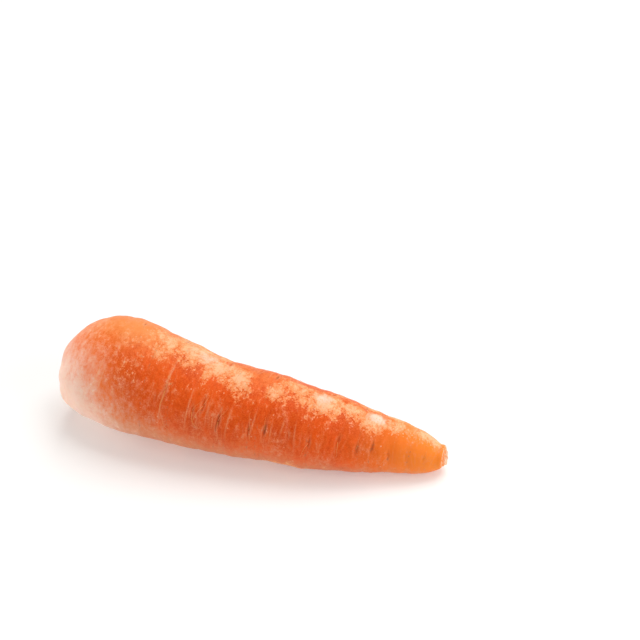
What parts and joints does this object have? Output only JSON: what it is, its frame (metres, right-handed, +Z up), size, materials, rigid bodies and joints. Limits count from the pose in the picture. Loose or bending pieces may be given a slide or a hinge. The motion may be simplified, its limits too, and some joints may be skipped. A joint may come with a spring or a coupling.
{
  "type": "carrot",
  "caption": "Whole stout carrot root without leaves, lying on its side, with a rounded crown end, side-root scars and a blunt tip.",
  "frame": {"origin": "middle of the carrot's footprint, on the surface that it lies on", "axes": "+X from the crown end towards the tip, +Y towards the side that bends in, +Z up from the surface"},
  "size_m": [0.1574, 0.0466, 0.0445],
  "materials": {
    "carrot_skin": "satin orange root skin with pale dry patches and brown side-root scars"
  },
  "bodies": {
    "root": {"carrot": "carrot_skin"}
  },
  "joints": []
}
